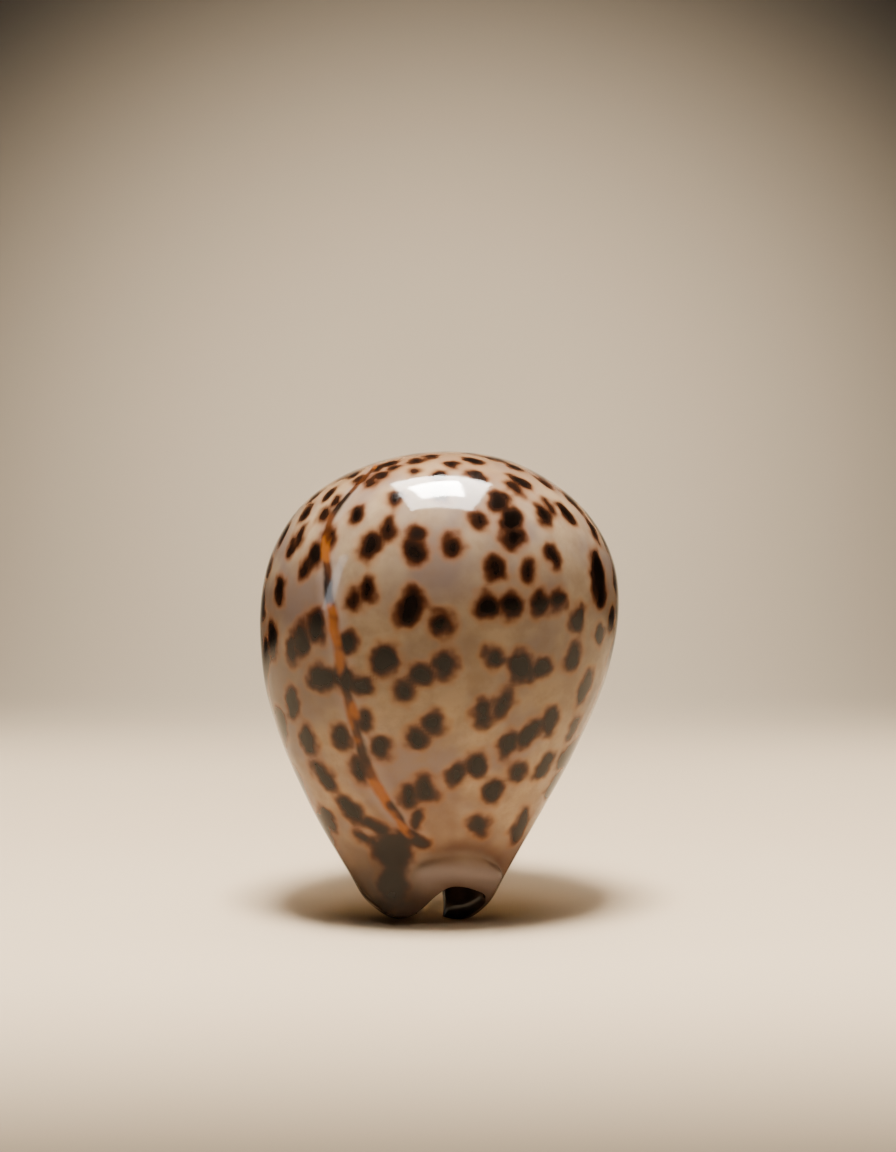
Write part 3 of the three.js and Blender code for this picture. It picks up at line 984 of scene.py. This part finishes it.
def front_values(grid, shell_points):
    """Where the front's dark feet with their painted shade, its bar and its groove with its painted shade
    are, from 0 to 1.
    """
    behind, turn = grid["v"] * FRONT_SCALE, grid["turn"]
    across, along = shell_points[..., 0], shell_points[..., 1]
    left = 1 - smooth(across, *FOOT_LEFT_TO_RIGHT)
    # the feet's dark brown with painted shade over it, darkest at the tips and more on the left
    foot = 1 - smooth(along, FOOT_DARK_AND_SHADE_REACH["from"], FOOT_DARK_AND_SHADE_REACH["to"] + FOOT_DARK_AND_SHADE_REACH["more_left"] * left)
    foot = foot * (FOOT_DARK_AND_SHADE_REACH["right_share"] + (1 - FOOT_DARK_AND_SHADE_REACH["right_share"]) * left)
    bar = bump(behind, BAR["behind"], BAR["half_width"] * BAR_COLOUR_WIDER)
    # the groove's rust with its painted shade, on its right alone
    groove = bump(behind, groove_place(turn) + GROOVE_RUST_AND_SHADE_BAND["behind"], GROOVE_RUST_AND_SHADE_BAND["half_width"])
    groove = groove * smooth(across, *GROOVE_LEFT_TO_RIGHT)
    return {"foot": foot, "bar": bar_window(turn) * bar, "groove": bar_window(turn) * groove}


def inner_face_values(inner, base):
    """The same numbers for the inner face, which has no markings, and painted shade near the front."""
    along = inner[..., 1]
    pale = np.maximum(base, smooth(edge_distance(inner), *INNER_PALE_FROM_EDGE))
    return {
        "spot": SPOT_REACH,
        "spot_strength": 0,
        "ghost": 0,
        "line": LINE_FAR,
        "line_end": LINE_FAR,
        # painted shade on the inner face near the front, in the canal
        "foot": 1 - smooth(along, *INNER_SHADE_ALONG),
        "bar": 0,
        "groove": 0,
        "base": pale * smooth(along, *INNER_PALE_ALONG),
    }


def shell_piece():
    """The one piece: the whole shell, with what its material reads at each point."""
    rng = np.random.default_rng(SEED)
    outer, inner, grid = sheet()
    points, outer_ids, inner_ids = joined_grids(outer, inner)
    tooth, strip = tooth_values(outer, inner)
    metres = lined_up(stood(points))
    mesh = bpy.data.meshes.new("cowrie_shell_skin")
    mesh.from_pydata(metres.tolist(), [], grid_faces(outer_ids, inner_ids))
    extra = outer_relief(grid)
    lift = relief(points, tooth, rng) + both_faces(extra, np.zeros_like(extra))
    metres = lifted(mesh, metres, lift * MM)
    metres = smoothed(mesh, metres, 1 - smooth(points[:, 1], *FRONT_SMOOTHED))
    metres = grounded(lined_up(metres))
    mesh.vertices.foreach_set("co", metres.astype(np.float32).ravel())
    mesh.update()
    mesh.shade_smooth()

    seen = metres[: outer_ids.size].reshape(outer.shape) / MM
    values = {**marking_values(seen, grid, outer[..., 1], rng), **front_values(grid, outer)}
    values["base"] = base_share(grid["turn"]) * smooth(outer[..., 1], *BASE_ALONG)
    inner_values = inner_face_values(inner, values["base"])
    for name, face_values in values.items():
        inside = np.broadcast_to(inner_values[name], grid["v"].shape)
        float_attribute(mesh, name, both_faces(face_values, inside))
    float_attribute(mesh, "along", points[:, 1] / SHELL_LENGTH)
    float_attribute(mesh, "tooth", tooth)
    float_attribute(mesh, "lip", strip)

    piece = bpy.data.objects.new("cowrie_shell_skin", mesh)
    bpy.context.scene.collection.objects.link(piece)
    mesh.materials.append(shell_material())
    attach(piece, "root")
    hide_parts(NODE)


# ---------------------------------------------------------------- stage, light and camera

# The paper sweep, in metres: a wall in front, a floor, a bend and a wall behind.
SWEEP_HALF_WIDTH = 3.0
SWEEP_FRONT = -1.8
SWEEP_BEND_AT = 0.25
SWEEP_RADIUS = 0.5
SWEEP_TOP = 2.5
SWEEP_STEPS = 24

# Its colours. The floor has painted shade in front of the shell, where the light falls off, and becomes the
# backdrop behind it, over these places in Y. The backdrop has a painted pool of light in an ellipse behind
# the shell and painted shade outside it, over these shares of it.
PAPER_FLOOR = linear(228, 205, 172)
PAPER_MOTTLE = linear(232, 210, 178)
# painted shade where the light falls off in front of the shell
PAPER_PAINTED_FALLOFF = linear(62, 55, 47)
PAPER_BEHIND = linear(222, 203, 176)
# painted shade on the backdrop outside the painted pool of light
PAPER_PAINTED_SHADE = linear(48, 44, 39)
MOTTLE_LENGTH = 60
FLOOR_SHADE_AT = (-0.03, -0.2)
BACKDROP_AT = (0.15, 0.29)
# the painted pool of light on the backdrop, and where painted shade takes over outside it
BACKDROP_LIGHT_POOL = {"half_width": 0.15, "height": 0.075, "half_height": 0.12}
BACKDROP_SHADE_FADE = (0.2, 1.8)


def sweep_material():
    """Pale matt paper with painted shade in front of the shell, and a painted pool of light on a backdrop
    darkened by painted shade behind it.
    """
    g = Graph("sweep_paper")
    node = g.nodes.new("ShaderNodeSeparateXYZ")
    g.links.new(g.place(), node.inputs[0])
    x, y, z = node.outputs
    aside = g.math("DIVIDE", x, BACKDROP_LIGHT_POOL["half_width"])
    over = g.math("DIVIDE", g.math("SUBTRACT", z, BACKDROP_LIGHT_POOL["height"]), BACKDROP_LIGHT_POOL["half_height"])
    away = g.math("ADD", g.math("MULTIPLY", aside, aside), g.math("MULTIPLY", over, over))
    # a painted pool of light behind the shell, with painted shade outside it
    behind = g.mix(g.span(g.math("SQRT", away), *BACKDROP_SHADE_FADE), PAPER_BEHIND, PAPER_PAINTED_SHADE)
    floor = g.mix(g.noise(MOTTLE_LENGTH, detail=3), PAPER_FLOOR, PAPER_MOTTLE)
    # painted shade on the floor in front of the shell
    floor = g.mix(g.span(y, *FLOOR_SHADE_AT), floor, PAPER_PAINTED_FALLOFF)
    g.feed(g.shader.inputs["Base Color"], g.mix(g.span(y, *BACKDROP_AT), floor, behind))
    g.shader.inputs["Roughness"].default_value = 1.0
    g.shader.inputs["Specular IOR Level"].default_value = 0.0
    return g.material


def sweep_floor():
    """The paper: a floor that curves up into a backdrop, and a wall in front that the glaze mirrors."""
    line = [(SWEEP_FRONT, SWEEP_TOP), (SWEEP_FRONT, 0.0), (SWEEP_BEND_AT, 0.0)]
    for i in range(1, SWEEP_STEPS + 1):
        angle = i / SWEEP_STEPS * math.pi / 2
        across = SWEEP_BEND_AT + SWEEP_RADIUS * math.sin(angle)
        line.append((across, SWEEP_RADIUS * (1 - math.cos(angle))))
    line.append((SWEEP_BEND_AT + SWEEP_RADIUS, SWEEP_TOP))
    points = [(side * SWEEP_HALF_WIDTH, y, z) for y, z in line for side in (-1, 1)]
    faces = [(2 * i, 2 * i + 1, 2 * i + 3, 2 * i + 2) for i in range(len(line) - 1)]
    mesh = bpy.data.meshes.new("sweep")
    mesh.from_pydata(points, [], faces)
    mesh.shade_smooth()
    for flat in (0, 1):  # the wall in front and the floor, which meet in a corner
        mesh.polygons[flat].use_smooth = False
    floor = bpy.data.objects.new("sweep", mesh)
    bpy.context.scene.collection.objects.link(floor)
    mesh.materials.append(sweep_material())


def softbox(name, location, aim, size, watts, colour, gloss=True, diffuse=True):
    """A soft light. Without gloss it isn't mirrored in the glaze. Without diffuse it is only mirrored."""
    light = bpy.data.lights.new(name, "AREA")
    light.shape = "RECTANGLE"
    light.size, light.size_y = size
    light.energy = watts
    light.color = colour
    lamp = bpy.data.objects.new(name, light)
    lamp.location = location
    lamp.rotation_euler = (Vector(aim) - Vector(location)).to_track_quat("-Z", "Y").to_euler()
    lamp.visible_glossy = gloss
    lamp.visible_diffuse = diffuse
    bpy.context.scene.collection.objects.link(lamp)


WORLD_COLOUR = (0.92, 0.94, 1.0, 1.0)
WORLD_STRENGTH = 0.02
WARM = (1.0, 0.94, 0.86)
COOL = (0.92, 0.96, 1.0)


def studio(middle):
    """The key light and its bright heart, their gleams in the glaze, a window, and the backdrop's light."""
    world = bpy.data.worlds.new("studio")
    world.use_nodes = True
    background = world.node_tree.nodes["Background"]
    background.inputs["Color"].default_value = WORLD_COLOUR
    background.inputs["Strength"].default_value = WORLD_STRENGTH
    bpy.context.scene.world = world
    softbox("key_above", (0.0, -0.10, 0.52), middle, (0.36, 0.32), 1.5, WARM, gloss=False)
    softbox("key_heart", (-0.01, -0.12, 0.50), middle, (0.12, 0.10), 7.4, WARM, gloss=False)
    softbox("gleam_soft", (0.0, 0.02, 0.49), middle, (0.36, 0.40), 34.0, WARM, diffuse=False)
    softbox("gleam_heart", (-0.01, 0.04, 0.48), middle, (0.20, 0.17), 44.0, WARM, diffuse=False)
    softbox("window_left", (-0.76, -0.20, 0.12), middle, (0.10, 0.40), 1.1, COOL, diffuse=False)
    softbox("backdrop_light", (0.0, 0.15, 0.75), (0, 0.75, 0.25), (0.35, 0.35), 2.0, WARM)


CAMERA_ELEVATION = math.radians(7.5)
CAMERA_DISTANCE = 0.549
CAMERA_LENS = 98.0
CAMERA_CLIP = 0.01
AIM_RIGHT = 1.5 * MM
AIM_UP = 19.2 * MM


def camera(middle):
    """Level with the shell's middle, a little above, aimed so that the shell stands low in the picture."""
    back = Vector((0, -math.cos(CAMERA_ELEVATION), math.sin(CAMERA_ELEVATION)))
    up = Vector((0, math.sin(CAMERA_ELEVATION), math.cos(CAMERA_ELEVATION)))
    place = middle + back * CAMERA_DISTANCE
    aim = middle + up * AIM_UP + Vector((AIM_RIGHT, 0, 0))
    data = bpy.data.cameras.new("camera")
    data.lens = CAMERA_LENS
    data.clip_start = CAMERA_CLIP
    view = bpy.data.objects.new("camera", data)
    view.location = place
    view.rotation_euler = (aim - place).to_track_quat("-Z", "Y").to_euler()
    bpy.context.scene.collection.objects.link(view)
    bpy.context.scene.camera = view


low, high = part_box(NODE)
middle = (low + high) / 2
shell_piece()
sweep_floor()
studio(middle)
camera(middle)
